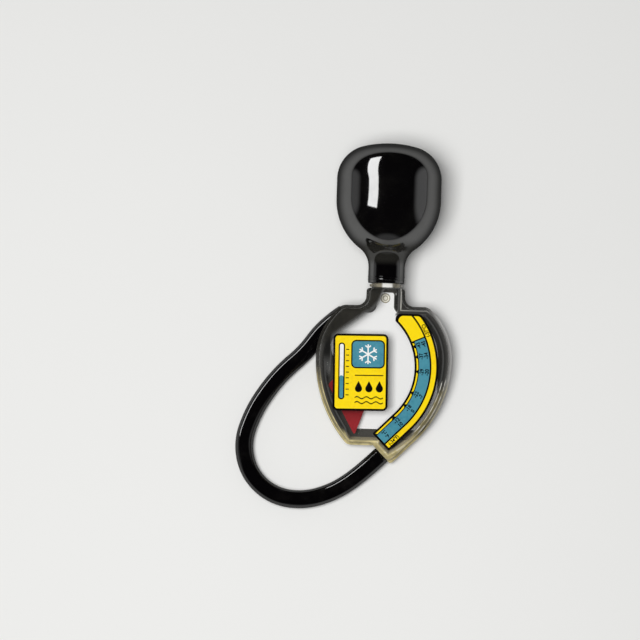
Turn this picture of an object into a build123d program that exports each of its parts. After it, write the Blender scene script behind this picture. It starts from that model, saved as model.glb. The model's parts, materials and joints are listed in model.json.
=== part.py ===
from build123d import *
from math import acos, asin, atan2, cos, degrees, hypot, pi, radians, sin, sqrt, tan
import os

# Antifreeze tester, lying on its back: the bulb's belly and the lower edge of the chamber's back touch the
# ground. The chamber's own flat frame is u to the right, v towards the bulb and w out of the dial.
# Lengths are in millimetres.

# Chamber, drawn in u and v about the middle of its round upper part
body_radius = 36.0
right_side_radius = 60.0
left_side_radius = 68.0
bottom_depth = 46.0
body_thickness = 16.0
rim_width = 1.6
rim_thickness = 2.4
wall = 1.8
window_margin = 6.6
edge_radius = 2.0
shoulder_corner = 5.0
bottom_corner = 5.0
least_corner = 0.5
chamber_corner = 1.2

# Shares of the body's radius: the shoulders' height and the neck's half width
shoulder_share = 0.778
neck_share = 0.2833

# Neck, spigot and the collar that the bulb's lip stops at
neck_length = 9.4
neck_flare = 5.0
neck_corner = 1.8
tab_flare = 4.0
tab_margin = 5.6
spigot_margin = 2.6
spigot_length = 15.0
spigot_wall = 1.8
spigot_chamfer = 0.8
collar_width = 1.1
collar_height = 1.4
collar_gap = 0.6

# Hose spout at the lower right, along the 45 degree line of the right side
spout_turn = 45.0
spout_step = 3.0
spout_corner = 1.6
spout_wall = 3.6
spout_radius = 6.4
nipple_radius = 2.5
nipple_bore_radius = 1.6
nipple_length = 9.0
barb_length = 2.4
barb_step = 0.2
barb_count = 3

# Pivot and pointer; the pointer's own frame hangs from the pivot
pivot_margin = 12.2
pivot_v = -4.5
pin_radius = 1.0
pin_fit = 0.04
pin_seat_fit = 0.01
pin_seat_depth = 3.0
boss_radius = 2.8
pointer_rest_angle = 4.5
pointer_overlap = 3.0
pointer_half_width = 12.5
pointer_shoulder = 9.0
pointer_tip_radius = 0.6
pointer_corner_radius = 1.2
blade_thickness = 1.8
hub_radius = 3.4
hub_thickness = 4.4
hub_gap = 0.3
slug_radius = 2.0
slug_fit = 0.02
slug_reach = 11.0
slug_turn = 30.0

# White dial plate and the moulded peg that holds its tab
plate_thickness = 0.8
plate_clearance = 0.4
plate_bottom_depth = 37.5
plate_left_top = 9.0
plate_left_bottom = 15.0
plate_boss_clearance = 0.3
peg_height = 32.2
peg_radius = 1.5
peg_fit = 0.15
peg_head_radius = 2.6
peg_head_thickness = 0.7
peg_head_bevel = 0.3

# Printed films on the window
film = 0.2
scale_width = 12.5
scale_margin = 0.6
scale_top_margin = 3.8
scale_rise = 4.0
scale_straight = 16.0
scale_inner_corner = 2.8
scale_outer_corner = 3.4
scale_end_corner = 0.6
label_width = 29.0
label_height = 40.6
label_corner = 2.6
label_u = -12.2
label_v = -7.4
label_turn = 1.0

# Bulb, in r from its axis and v along it
bulb_radius = 27.7
bulb_wall = 2.0
belly_radius = 32.0
belly_height = 84.0
bulb_side = 10.9
bulb_shoulder_radius = 18.0
dome_angle = 75.0
sleeve_fit = 0.05
throat_radius = 12.0
lip_radius = 0.5

# Hose
hose_radius = 4.75
hose_bore_radius = 3.0
hose_fit = 0.05
hose_first_run = 15.0
arc_share = 0.48

# Named overrun for cuts
overrun = 1.0

# Places that follow from the sizes above
shoulder_height = body_radius * shoulder_share
window_radius = body_radius - window_margin
neck_half_width = body_radius * neck_share
neck_top = shoulder_height + neck_length
tab_half_width = neck_half_width - tab_margin
spigot_radius = neck_half_width - spigot_margin
spigot_bore_radius = spigot_radius - spigot_wall
collar_radius = spigot_radius + collar_width
sleeve_radius = spigot_radius + bulb_wall
pivot_u = pivot_margin - window_radius
scale_outer_radius = window_radius - pivot_u - scale_margin
scale_inner_radius = scale_outer_radius - scale_width
scale_top = shoulder_height - scale_top_margin
pointer_length = scale_inner_radius + pointer_overlap
half_thickness = body_thickness / 2
half_rim = rim_thickness / 2
cavity_inset = rim_width + wall
cavity_half = half_thickness - wall
edge_corner = edge_radius + half_rim / 2
right_centre = body_radius - right_side_radius
left_centre = left_side_radius - body_radius
tab_top = neck_top - wall
spigot_root = tab_top + wall / 4
collar_bottom = neck_top + collar_gap
lip_height = collar_bottom + collar_height + collar_gap
spigot_top = neck_top + spigot_length
boss_end = hub_thickness / 2 + hub_gap
plate_floor = -cavity_half
belly_centre = bulb_radius - belly_radius
shoulder_centre = bulb_radius - bulb_shoulder_radius
bulb_shoulder_height = belly_height + bulb_side
dome_rise = shoulder_centre / cos(radians(dome_angle))
dome_centre = bulb_shoulder_height - dome_rise * sin(radians(dome_angle))
dome_radius = bulb_shoulder_radius + dome_rise
throat_centre = sleeve_radius + throat_radius
throat_height = belly_height - sqrt(
    (belly_radius + throat_radius) ** 2 - (throat_centre - belly_centre) ** 2
)

# The tilt at which one flat ground touches both the rounded lower edge of the back and the bulb's belly
edge_v = -(bottom_depth - rim_width - edge_radius)
edge_w = half_thickness - edge_radius
contact_run = belly_height - edge_v
contact_rise = edge_w - belly_centre
tilt = atan2(contact_run, contact_rise) - acos(
    (belly_radius - edge_radius) / hypot(contact_run, contact_rise)
)
dial_height = edge_w * cos(tilt) - edge_v * sin(tilt) + edge_radius

# The spout leaves the middle of the end face, which runs from the bottom line to the right side's line
spout_x = -cos(radians(spout_turn))
spout_y = -sin(radians(spout_turn))
spout_reach = spout_step - bottom_depth * spout_y


def end_corner(inset, end_inset):
    """Where the end face meets the right side's line."""
    side = right_side_radius - inset - right_centre * spout_x
    reach = spout_reach - end_inset
    return reach * spout_x - side * spout_y, reach * spout_y + side * spout_x


def end_root(inset, end_inset):
    """Where the end face meets the bottom line."""
    low = inset - bottom_depth
    return (spout_reach - end_inset - low * spout_y) / spout_x, low


face_corner = end_corner(0, 0)
face_root = end_root(0, 0)
spout_u = (face_corner[0] + face_root[0]) / 2
spout_v = (face_corner[1] + face_root[1]) / 2
nipple_end_v = spout_v + nipple_length * spout_y
barb_radius = hose_bore_radius - hose_fit

# The ground frame's origin is under the middle of the length from the nipple's tip to the bulb's dome
top_y = dome_centre * cos(tilt) + dome_radius
low_y = nipple_end_v * cos(tilt) - nipple_radius * sqrt(1 - (spout_y * cos(tilt)) ** 2)
dial_y = -(top_y + low_y) / 2

dial = Plane(
    origin=(0, dial_y, dial_height), x_dir=(1, 0, 0), z_dir=(0, -sin(tilt), cos(tilt))
)
bulb_axis = Axis(dial.origin, dial.y_dir)
depth_axis = Axis(dial.origin, dial.z_dir)
spout_plane = Plane(
    origin=dial.from_local_coords(Vector(spout_u, spout_v)),
    x_dir=dial.z_dir,
    z_dir=dial.x_dir * spout_x + dial.y_dir * spout_y,
)
spout_section = Plane(origin=spout_plane.origin, x_dir=spout_plane.z_dir, z_dir=dial.z_dir)
spout_axis = Axis(spout_plane.origin, spout_plane.z_dir)
pivot_plane = Plane(
    origin=dial.from_local_coords(Vector(pivot_u, pivot_v)), x_dir=dial.x_dir, z_dir=dial.z_dir
)
pointer_plane = Plane(
    origin=pivot_plane.origin,
    x_dir=dial.x_dir * cos(radians(pointer_rest_angle)) + dial.y_dir * sin(radians(pointer_rest_angle)),
    z_dir=dial.z_dir,
)


def body_outline(
    inset, end_inset, throat, flare, top, least=least_corner, wedge=True, waist=body_radius
):
    """The chamber's flat outline, drawn inset from the rim's edge: a round upper part cut by the shoulders,
    the neck above with half width throat, two long bows below, and at the lower right the wedge that ends in
    the spout's face. Corners get tighter as the outline is drawn further in, down to least. A waist narrower
    than the bows gives the outline straight sides between the round part and the bows."""
    radius = min(body_radius - inset, waist)
    right = right_side_radius - inset
    left = left_side_radius - inset
    shoulder = shoulder_height - inset
    low = inset - bottom_depth
    shoulder_angle = degrees(asin(shoulder / radius))
    left_angle = degrees(asin(-low / left))
    right_angle = spout_turn if wedge else degrees(asin(-low / right))
    left_start = degrees(acos(min((left_centre + radius) / left, 1)))
    right_start = degrees(acos(min((radius - right_centre) / right, 1)))
    with BuildSketch() as outline:
        with BuildLine():
            upper_right = CenterArc((0, 0), radius, shoulder_angle, -shoulder_angle)
            lower_right = CenterArc((right_centre, 0), right, -right_start, right_start - right_angle)
            lower_left = CenterArc((left_centre, 0), left, 180 + left_angle, left_start - left_angle)
            upper_left = CenterArc((0, 0), radius, 180, -shoulder_angle)
            if waist < body_radius:
                Line(upper_right @ 1, lower_right @ 0)
                Line(lower_left @ 1, upper_left @ 0)
            spout_end = [end_corner(inset, end_inset), end_root(inset, end_inset)] if wedge else []
            Polyline(lower_right @ 1, *spout_end, lower_left @ 0)
            Polyline(
                upper_left @ 1, (-throat, shoulder), (-throat, top), (throat, top), (throat, shoulder),
                upper_right @ 0,
            )
        make_face()
        outer_shoulder = max(shoulder_corner - inset, least)
        low_corner = max(bottom_corner - inset, least)
        corners = [
            (upper_left @ 1, outer_shoulder),
            (upper_right @ 0, outer_shoulder),
            (lower_left @ 0, low_corner),
            (lower_right @ 1, low_corner),
            (Vector(-throat, shoulder), flare),
            (Vector(throat, shoulder), flare),
            (Vector(-throat, top), max(neck_corner - inset, least)),
            (Vector(throat, top), max(neck_corner - inset, least)),
        ]
        if wedge:
            corners[3] = (Vector(*end_corner(inset, end_inset)), max(spout_corner - inset, least))
        for place, size in corners:
            fillet(outline.vertices().sort_by_distance(place)[0], size)
    return outline.sketch


def tray_outline(wedge):
    """The outline of one half's deep tray, which stands in from the rim."""
    return body_outline(
        rim_width, 0, neck_half_width - rim_width, neck_flare + rim_width, neck_top,
        least=edge_corner, wedge=wedge,
    )


def chamber_outline(clearance, wedge):
    """The float chamber's outline: the body's, inside its wall, thicker beside the round window."""
    return body_outline(
        cavity_inset + clearance, spout_wall + clearance, tab_half_width + plate_clearance - clearance,
        tab_flare, tab_top - clearance, least=chamber_corner, wedge=wedge, waist=window_radius - clearance,
    )


def chamber_space(depth, wedge):
    """The space inside one half of the float chamber."""
    with BuildPart() as space:
        with BuildSketch(dial):
            add(chamber_outline(0, wedge))
        extrude(amount=depth)
    return space.part


def neck_and_nipple():
    """The round pieces that both halves share: spigot, collar and barbed nipple, with their bores to cut."""
    with BuildPart() as rounds:
        with BuildSketch(dial):
            with BuildLine():
                Polyline(
                    (0, spigot_root), (spigot_radius, spigot_root), (spigot_radius, collar_bottom),
                    (collar_radius, collar_bottom), (collar_radius, collar_bottom + collar_height),
                    (spigot_radius, collar_bottom + collar_height),
                    (spigot_radius, spigot_top - spigot_chamfer),
                    (spigot_radius - spigot_chamfer, spigot_top), (0, spigot_top), close=True,
                )
            make_face()
        revolve(axis=bulb_axis)
        with BuildSketch(spout_section):
            with BuildLine():
                barbs = [(0, 0), (0, nipple_radius)]
                for barb in range(barb_count, 0, -1):
                    start = nipple_length - barb * barb_length
                    barbs += [(start - barb_step, nipple_radius), (start, barb_radius)]
                Polyline(*barbs, (nipple_length, nipple_radius), (nipple_length, 0), close=True)
            make_face()
        revolve(axis=spout_axis)
    return rounds.part


def bores():
    """The passages: from the chamber up through the spigot, and from the chamber down through the nipple."""
    with BuildPart() as passages:
        with BuildSketch(Plane(dial.from_local_coords(Vector(0, tab_top - wall)), dial.x_dir, dial.y_dir)):
            Circle(spigot_bore_radius)
        extrude(amount=spigot_top - tab_top + wall + overrun)
        with BuildSketch(spout_plane.offset(-spout_wall - spout_radius)):
            Circle(nipple_bore_radius)
        extrude(amount=spout_wall + spout_radius + nipple_length + overrun)
    return passages.part


def bulb_outline(inset, lip):
    """Half of the bulb's section, drawn inset from its outside, from the dome down to the sleeve."""
    belly_turn = degrees(atan2(belly_height - throat_height, throat_centre - belly_centre))
    with BuildSketch() as section:
        with BuildLine():
            dome = CenterArc((0, dome_centre), dome_radius - inset, 90, dome_angle - 90)
            shoulder = CenterArc(
                (shoulder_centre, bulb_shoulder_height), bulb_shoulder_radius - inset, dome_angle, -dome_angle
            )
            belly = CenterArc((belly_centre, belly_height), belly_radius - inset, 0, -belly_turn)
            throat = CenterArc(
                (throat_centre, throat_height), throat_radius + inset, 180 - belly_turn, belly_turn
            )
            Line(shoulder @ 1, belly @ 0)
            Polyline(throat @ 1, (sleeve_radius - inset, lip), (0, lip), dome @ 0)
        make_face()
    return section.sketch


# Front shell: window, side wall, rim, wedge, half of the neck and nipple, and the front pivot boss
with BuildPart() as front_shell:
    with BuildSketch(dial):
        add(tray_outline(wedge=True))
    extrude(amount=half_thickness)
    fillet(front_shell.faces().sort_by(depth_axis)[-1].edges(), edge_radius)
    with BuildSketch(dial):
        add(body_outline(0, 0, neck_half_width, neck_flare, neck_top))
    extrude(amount=half_rim)
    add(neck_and_nipple())
    add(chamber_space(cavity_half, wedge=True), mode=Mode.SUBTRACT)
    add(bores(), mode=Mode.SUBTRACT)
    with BuildSketch(pivot_plane.offset(boss_end)):
        Circle(boss_radius)
    extrude(amount=cavity_half - boss_end)
    with BuildSketch(pivot_plane.offset(boss_end)):
        Circle(pin_radius + pin_seat_fit)
    extrude(amount=pin_seat_depth, mode=Mode.SUBTRACT)
    split(bisect_by=dial, keep=Keep.TOP)

peg_foot = dial.from_local_coords(Vector(0, peg_height, plate_floor))

# Rear shell: the same outline, but its deep part stops at the bottom line and a round boss carries the spout
with BuildPart() as rear_shell:
    with BuildSketch(dial):
        add(tray_outline(wedge=False))
    extrude(amount=-half_thickness)
    fillet(rear_shell.faces().sort_by(depth_axis)[0].edges(), edge_radius)
    with BuildSketch(dial):
        add(body_outline(0, 0, neck_half_width, neck_flare, neck_top))
    extrude(amount=-half_rim)
    with BuildSketch(spout_plane):
        Circle(spout_radius)
    extrude(amount=-spout_radius - spout_wall)
    add(neck_and_nipple())
    add(chamber_space(-cavity_half, wedge=False), mode=Mode.SUBTRACT)
    add(bores(), mode=Mode.SUBTRACT)
    with BuildSketch(pivot_plane.offset(-boss_end)):
        Circle(boss_radius)
    extrude(amount=boss_end - cavity_half)
    with BuildSketch(pivot_plane.offset(-boss_end)):
        Circle(pin_radius + pin_seat_fit)
    extrude(amount=-pin_seat_depth, mode=Mode.SUBTRACT)
    with BuildSketch(Plane(peg_foot, dial.x_dir, -dial.y_dir)):
        with BuildLine():
            Polyline(
                (0, 0), (peg_radius, 0), (peg_radius, plate_thickness), (peg_head_radius, plate_thickness),
                (peg_head_radius - peg_head_bevel, plate_thickness + peg_head_thickness),
                (0, plate_thickness + peg_head_thickness), close=True,
            )
        make_face()
    revolve(axis=Axis(peg_foot, dial.z_dir))
    split(bisect_by=dial, keep=Keep.BOTTOM)

# White plate on the rear shell's floor, cut away at the lower left, with its tab in the neck
with BuildPart() as dial_plate:
    with BuildSketch(dial.offset(plate_floor)):
        add(chamber_outline(plate_clearance, wedge=False))
        with BuildLine():
            Polyline(
                (-body_radius, plate_left_top), (-window_radius, plate_left_top),
                (-plate_left_bottom, -plate_bottom_depth), (body_radius, -plate_bottom_depth),
                (body_radius, -bottom_depth), (-body_radius, -bottom_depth), close=True,
            )
        make_face(mode=Mode.SUBTRACT)
        with Locations((pivot_u, pivot_v)):
            Circle(boss_radius + plate_boss_clearance, mode=Mode.SUBTRACT)
        with Locations((0, peg_height)):
            Circle(peg_radius + peg_fit, mode=Mode.SUBTRACT)
    extrude(amount=plate_thickness)

# Pointer: a flat arrowhead blade round a hub, with the hole for its slug
with BuildPart() as pointer:
    with BuildSketch(pointer_plane.offset(-blade_thickness / 2)) as blade:
        with BuildLine():
            Polyline(
                (0, -pointer_length), (pointer_half_width, -pointer_shoulder), (0, hub_radius),
                (-pointer_half_width, -pointer_shoulder), close=True,
            )
        make_face()
        fillet(blade.vertices().sort_by(Axis.Y)[0], pointer_tip_radius)
        fillet(blade.vertices().sort_by(Axis.X)[0], pointer_corner_radius)
        fillet(blade.vertices().sort_by(Axis.X)[-1], pointer_corner_radius)
        Circle(hub_radius)
        with Locations(
            (-slug_reach * sin(radians(slug_turn)), -slug_reach * cos(radians(slug_turn)))
        ):
            Circle(slug_radius + slug_fit, mode=Mode.SUBTRACT)
    extrude(amount=blade_thickness)
    with BuildSketch(pointer_plane.offset(-hub_thickness / 2)):
        Circle(hub_radius)
    extrude(amount=hub_thickness)
    with BuildSketch(pointer_plane.offset(-hub_thickness / 2)):
        Circle(pin_radius + pin_fit)
    extrude(amount=hub_thickness, mode=Mode.SUBTRACT)

with BuildPart() as ballast_slug:
    with BuildSketch(pointer_plane.offset(-blade_thickness / 2)):
        with Locations(
            (-slug_reach * sin(radians(slug_turn)), -slug_reach * cos(radians(slug_turn)))
        ):
            Circle(slug_radius)
    extrude(amount=blade_thickness)

with BuildPart() as pivot_pin:
    with BuildSketch(pivot_plane.offset(-boss_end - pin_seat_depth)):
        Circle(pin_radius)
    extrude(amount=2 * (boss_end + pin_seat_depth))

# Printed arc scale: a ring sector about the pivot that runs on straight towards the spout
with BuildPart() as scale_label:
    with BuildSketch(dial.offset(half_thickness)) as scale:
        with BuildLine():
            outer_angle = degrees(asin((scale_top - pivot_v) / scale_outer_radius))
            inner_angle = degrees(asin((scale_top - scale_rise - pivot_v) / scale_inner_radius))
            outer = CenterArc(
                (pivot_u, pivot_v), scale_outer_radius, -spout_turn, outer_angle + spout_turn
            )
            inner = CenterArc(
                (pivot_u, pivot_v), scale_inner_radius, -spout_turn, inner_angle + spout_turn
            )
            run = Vector(spout_x, spout_y) * scale_straight
            Polyline(inner @ 1, ((inner @ 1).X, scale_top), outer @ 1)
            Polyline(outer @ 0, outer @ 0 + run, inner @ 0 + run, inner @ 0)
            corners = [
                (Vector((inner @ 1).X, scale_top), scale_inner_corner),
                (outer @ 1, scale_outer_corner),
                (outer @ 0 + run, scale_end_corner),
                (inner @ 0 + run, scale_end_corner),
            ]
        make_face()
        for place, size in corners:
            fillet(scale.vertices().sort_by_distance(place)[0], size)
    extrude(amount=film)

with BuildPart() as front_label:
    with BuildSketch(dial.offset(half_thickness)):
        with Locations(Location((label_u, label_v), label_turn)):
            RectangleRounded(label_width, label_height, label_corner)
    extrude(amount=film)

# Bulb: one wall thick, its sleeve bored to slip over the spigot down to the collar
with BuildPart() as squeeze_bulb:
    with BuildSketch(dial):
        add(bulb_outline(0, lip_height))
    revolve(axis=bulb_axis)
    fillet(squeeze_bulb.edges().sort_by(bulb_axis)[0], lip_radius)
    with BuildSketch(dial):
        add(bulb_outline(bulb_wall, lip_height - overrun))
    revolve(axis=bulb_axis, mode=Mode.SUBTRACT)
    with BuildSketch(Plane(dial.from_local_coords(Vector(0, lip_height - overrun)), dial.x_dir, dial.y_dir)):
        Circle(spigot_radius + sleeve_fit)
    extrude(amount=spigot_top - lip_height + 2 * overrun, mode=Mode.SUBTRACT)

# Hose: straight off the nipple, down to the ground, and round the left in one loop to behind the shoulder
hose_exit = spout_plane.origin
hose_route = [
    (-24.6, -98.6),
    (-40.6, -103.6),
    (-56.5, -100.2),
    (-68.7, -89.4),
    (-74.0, -73.5),
    (-73.2, -56.5),
    (-67.0, -41.6),
    (-57.6, -29.0),
    (-45.4, -18.4),
    (-31.5, -9.3),
    (-20.6, -3.0),
]
hose_points = [hose_exit, hose_exit + spout_plane.z_dir * hose_first_run]
hose_points += [Vector(x, y, hose_radius) for x, y in hose_route]
runs = [end - start for start, end in zip(hose_points, hose_points[1:])]
hose_radii = [
    arc_share * min(before.length, after.length) / tan(radians(before.get_angle(after)) / 2)
    for before, after in zip(runs, runs[1:])
]
with BuildPart() as hose:
    with BuildLine() as hose_path:
        FilletPolyline(*hose_points, radius=hose_radii)
    with BuildSketch(spout_plane):
        Circle(hose_radius)
        Circle(hose_bore_radius, mode=Mode.SUBTRACT)
    sweep()

pieces = {
    "front_shell": front_shell,
    "rear_shell": rear_shell,
    "dial_plate": dial_plate,
    "pointer": pointer,
    "ballast_slug": ballast_slug,
    "pivot_pin": pivot_pin,
    "scale_label": scale_label,
    "front_label": front_label,
    "squeeze_bulb": squeeze_bulb,
    "hose": hose,
}
os.makedirs("parts", exist_ok=True)
for name, piece in pieces.items():
    piece.part.label = name
    export_step(piece.part, f"parts/{name}.step")

hose_length = sum(edge.length for edge in hose_path.edges())
hose_section = pi * (hose_radius**2 - hose_bore_radius**2)
print("tilt", round(degrees(tilt), 3), "dial at y", round(dial_y, 3), "z", round(dial_height, 3))
print("hose exit", [round(value, 2) for value in hose_exit], "direction", spout_plane.z_dir)
print("hose radii", [round(radius, 1) for radius in hose_radii])
print("hose runs", [round(run.length, 1) for run in runs])
print(
    "hose length", round(hose_length, 1), "volume over section times length",
    round(hose.part.volume / (hose_section * hose_length), 4),
)
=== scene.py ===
"""Antifreeze tester lying on its back: vinyl bulb, flat clear float chamber with a hanging pointer, printed
arc scale and panel on the window, and a rubber hose that curls round to the left and ends behind the
chamber's shoulder."""

import json
from math import asin, atan2, cos, degrees, pi, radians, sin, tan

import bmesh
import bpy
from mathutils import Matrix, Vector


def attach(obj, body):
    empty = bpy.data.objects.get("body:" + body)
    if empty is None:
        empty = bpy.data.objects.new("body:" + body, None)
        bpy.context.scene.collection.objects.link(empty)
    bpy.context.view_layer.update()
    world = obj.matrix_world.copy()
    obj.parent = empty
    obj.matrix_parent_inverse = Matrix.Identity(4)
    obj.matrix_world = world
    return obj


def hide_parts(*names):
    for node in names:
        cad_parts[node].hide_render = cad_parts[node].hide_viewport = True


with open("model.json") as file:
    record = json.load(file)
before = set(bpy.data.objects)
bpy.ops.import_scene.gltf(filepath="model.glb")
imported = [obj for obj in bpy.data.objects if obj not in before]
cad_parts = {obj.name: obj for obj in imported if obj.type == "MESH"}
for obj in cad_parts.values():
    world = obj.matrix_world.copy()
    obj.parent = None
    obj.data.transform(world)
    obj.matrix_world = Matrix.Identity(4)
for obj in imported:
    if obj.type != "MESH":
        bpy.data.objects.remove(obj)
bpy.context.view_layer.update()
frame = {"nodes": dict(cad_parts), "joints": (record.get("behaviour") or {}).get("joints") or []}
swing = frame["joints"][0]

# The dial's own flat frame: u across, v towards the bulb, w out of the window, in millimetres
MM = 0.001
PIVOT_U, PIVOT_V = -17.2, -4.5
FRONT = Vector(swing["axis"]).normalized()
ACROSS = Vector((1, 0, 0))
ALONG = FRONT.cross(ACROSS)
PIVOT = Vector(swing["pos_m"])
DIAL_ORIGIN = PIVOT - (ACROSS * PIVOT_U + ALONG * PIVOT_V) * MM

# Chamber. Inset is how far a point of the dial lies inside the body's outline
WINDOW_FACE = 8.0
FILM = 0.2
BODY_RADIUS = 36.0
RIGHT_BOW = 60.0
LEFT_BOW = 68.0
SHOULDER = 28.0
BOTTOM = -46.0
NECK_HALF = 10.2
NECK_TOP = 37.4
RIM = 1.6
WALL_INSET = 3.4
SPOUT_REACH = 35.53
WEDGE_ROOT = 4.2

# Where the clear shell is painted with shade, light and highlights. A pair in brackets gives where a change
# starts and is full
WALL_SHOWS = (5.4, 4.0)
FOOT_WALL = (-36.0, -42.0)
TOP_WALL = (23.0, 27.0)
LEFT_WALL, LEFT_WALL_TOP = (-27.4, -28.8), (-12.0, 3.0)
TAB_FOOT_U, TAB_FOOT_V = -7.5, 24.0
TAB_FOOT_HALF, TAB_FOOT_TALL = (6.0, 4.5), (4.0, 2.5)
WALL_DARKENS = (1.6, 4.8)
LOWER_LEFT = (20.0, 36.0)
RIM_LIT = (2.7, 2.1)
FOOT_LIT = (4.4, 3.6)
SPOUT_LIT = (44.0, 50.0)
SPOUT_GLINTS = (40.0, 43.0)
NECK_SIDE_U, NECK_SIDE_V = (3.0, 6.0), (23.0, 29.0)
RIGHT_LIT_EDGE_U, RIGHT_LIT_EDGE_V = (20.0, 30.0), (-40.0, -30.0)
FILLET_HIGHLIGHT_LINES = 3.6
COLLAR = (37.7, 37.9)
COLLAR_GLINT_U, COLLAR_GLINT_HALF = 0.6, (3.4, 2.0)

# The peg that holds the plate, and its moulded rings
PEG_U, PEG_V = 0.0, 32.2
PEG_HEAD = 2.6
PEG_RIM = 1.9
PEG_RING = 1.2
PEG_FACE = (-6.3, -6.1)

# The dark that the bulb and the hose cast into the upper left: where its edge runs over the plate, and where
# beside the plate's tab
SHADE_U, SHADE_V = -13.7, 21.6
SHADE_TURN = radians(37.0)
SHADE_EDGE = (-2.0, 2.2)
TAB_U, TAB_V = -3.3, 31.5
TAB_TURN = radians(20.0)

# Bulb's section: r from its axis, v along it
SLEEVE = 9.6
SLEEVE_BORE = 7.65
SLEEVE_DEPTH = 11.0
LIP = 40.0
LIP_ROUND = 0.5
BORE_EDGE = 0.3
BEADS = [2.0, 3.3]
BEAD = 0.35
THROAT = (21.6, 48.43, 12.0)
BELLY = (-4.3, 84.0, 32.0)
BULB_SHOULDER = (9.7, 94.9, 18.0)
DOME = (0.0, 58.7, 55.48)
DOME_TURN = 75.0

# Bulb's skin: mirror index, most that it mirrors, and where its throat and its gripped sleeve are matte; the
# throat also carries a painted grey reflection
VINYL_INDEX = 2.0
VINYL_MIRROR = 0.125
THROAT_MATTE_AND_PAINTED_REFLECTION = (49.0, 53.0, 58.0, 64.0)
SLEEVE_MATTE = (40.6, 44.2, 49.0, 52.0)
SLEEVE_MATTE_HALF = (6.5, 4.5)

# Hose
HOSE_RADIUS = 0.00475
HOSE_BORE = 0.003
HOSE_CHAMFER = 0.0004
HOSE_ROUTE = [
    (0.00053, -0.07776, 0.00661),
    (-0.01008, -0.08824, 0.00495),
    (-0.0246, -0.0986, 0.00475),
    (-0.0410, -0.1036, 0.00475),
    (-0.0572, -0.1010, 0.00475),
    (-0.0695, -0.0899, 0.00475),
    (-0.0736, -0.0736, 0.00475),
    (-0.0687, -0.0577, 0.00475),
    (-0.0614, -0.0451, 0.00475),
    (-0.0526, -0.0340, 0.00475),
    (-0.0415, -0.0240, 0.00475),
    (-0.0318, -0.0097, 0.00475),
    (-0.0214, -0.0021, 0.00475),
]

# Printed scale. Radii are about the pivot and stations are degrees round it; below TAIL_START, a station is
# millimetres down the straight tail
SCALE_INNER = 33.5
SCALE_OUTER = 46.0
SCALE_TOP = 24.2
SCALE_RISE = 4.0
TAIL_START = -45.0
TAIL_LENGTH = 16.0
KEYLINE = 1.1
TICKS_TO = 35.4
TEAL_FROM = 35.9
TEAL_TO = 41.5
BAND_FROM = 42.4
TEAL_TOP = 23.5
YELLOW_CORNER = 2.6
NOTCH_IN, NOTCH_OUT = 0.45, 1.1
TEAL_GAP_BELOW, TEAL_GAP_ABOVE = 0.4, 0.6
INK = 0.03
INK_DEPTH = 0.025
NOTCHES = [-47.0, -34.1, -21.6, -2.7, 10.0, 19.1]
PAIRS = ["-12|10", "-18|0", "-22|-7", "-29|-20", "-37|-34", "-43|-45"]

# Figures on the scale: heights of the type, radii of the two rows, and how far down the tail a line stands
PAIR_TYPE, UNIT_TYPE, LIMIT_TYPE = 2.9, 2.6, 2.7
PAIR_RADII = (37.4, 40.15)
UNIT_RADII = (37.5, 40.2)
UNIT_DOWN = 11.2
LIMIT_RADIUS = 43.8
LIMIT_DOWN = 10.2
LIMIT_STATION = 27.5
TYPE_WEIGHT = 0.032
TYPE_NARROWS = 0.88

# Printed panel
PANEL_U, PANEL_V = -12.2, -7.4
PANEL_WIDTH, PANEL_HEIGHT = 29.0, 40.6
PANEL_TURN = 1.0
PANEL_CORNER = 2.6
STAR_U, STAR_V = 3.9, 9.6
COLUMN_U, COLUMN_V = -10.0, 0.6
LEVEL_V = -7.7
MARKS_U, MARKS_FROM, MARKS_STEP = -6.9, -12.0, 3.0
DROPS_U, DROPS_V, DROPS_STEP = 4.6, -8.6, 5.5
RULE_V = -1.6
WAVES_V = (-13.4, -16.0)
WAVE_LENGTH, WAVE_RISE, WAVE_LINE = 5.0, 0.55, 0.32

# The photograph's view: its middle in the dial's frame, its width, and the tester's lean in it
VIEW_U, VIEW_V = -34.4, 19.5
VIEW_WIDTH = 0.3392
LEAN = radians(1.82)
LENS = 200.0
SENSOR = 36.0

# Lights: brightness 1 reads as white. The strip's three corners are given from STRIP_V on the bulb's axis
ROOM_GLOW = 0.14
KEY_AIM_V = 20.0
KEY_WAY = (-0.16, 0.02, 1.0)
KEY_DISTANCE = 1.5
KEY_SIZE = 0.6
KEY_GLOW = 18.2
STRIP_V = 92.0
STRIP = [(-92.0, -42.0, 125.8), (-88.7, 2.9, 135.0), (-71.9, 168.9, 43.5)]
STRIP_WIDTH = 0.066
STRIP_GLOW = 7.2
SIDE_AIM = (-60.0, -20.0)
SIDE_WAY = (-0.7, 0.66, 0.27)
SIDE_ALONG = (0.69, 0.72, 0.0)
SIDE_DISTANCE = 0.9
SIDE_LENGTH = 0.9
SIDE_WIDTH = 0.12
SIDE_GLOW = 14.0

# What gloss mirrors of the room: where each pale side starts and is full, as a share of the way that points
# there, and how bright it is
RIGHT_FROM, RIGHT_GLOW = (0.8, 0.93), 0.5
LEFT_FROM, LEFT_GLOW = (-0.9, -0.98), 0.35
DOWN_FROM, DOWN_GLOW = (0.9, 0.96), 0.22
OVERHEAD_GLOW = 0.006


def spot(u, v, w=0.0):
    """A place in the dial's frame, in metres in the row frame."""
    return DIAL_ORIGIN + (ACROSS * u + ALONG * v + FRONT * w) * MM


def ink(red, green, blue):
    """A printed colour as the eye sees it, 0 to 255, as the shader's linear colour."""
    shares = [value / 255 for value in (red, green, blue)]
    return tuple(s / 12.92 if s <= 0.04045 else ((s + 0.055) / 1.055) ** 2.4 for s in shares) + (1.0,)


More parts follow.
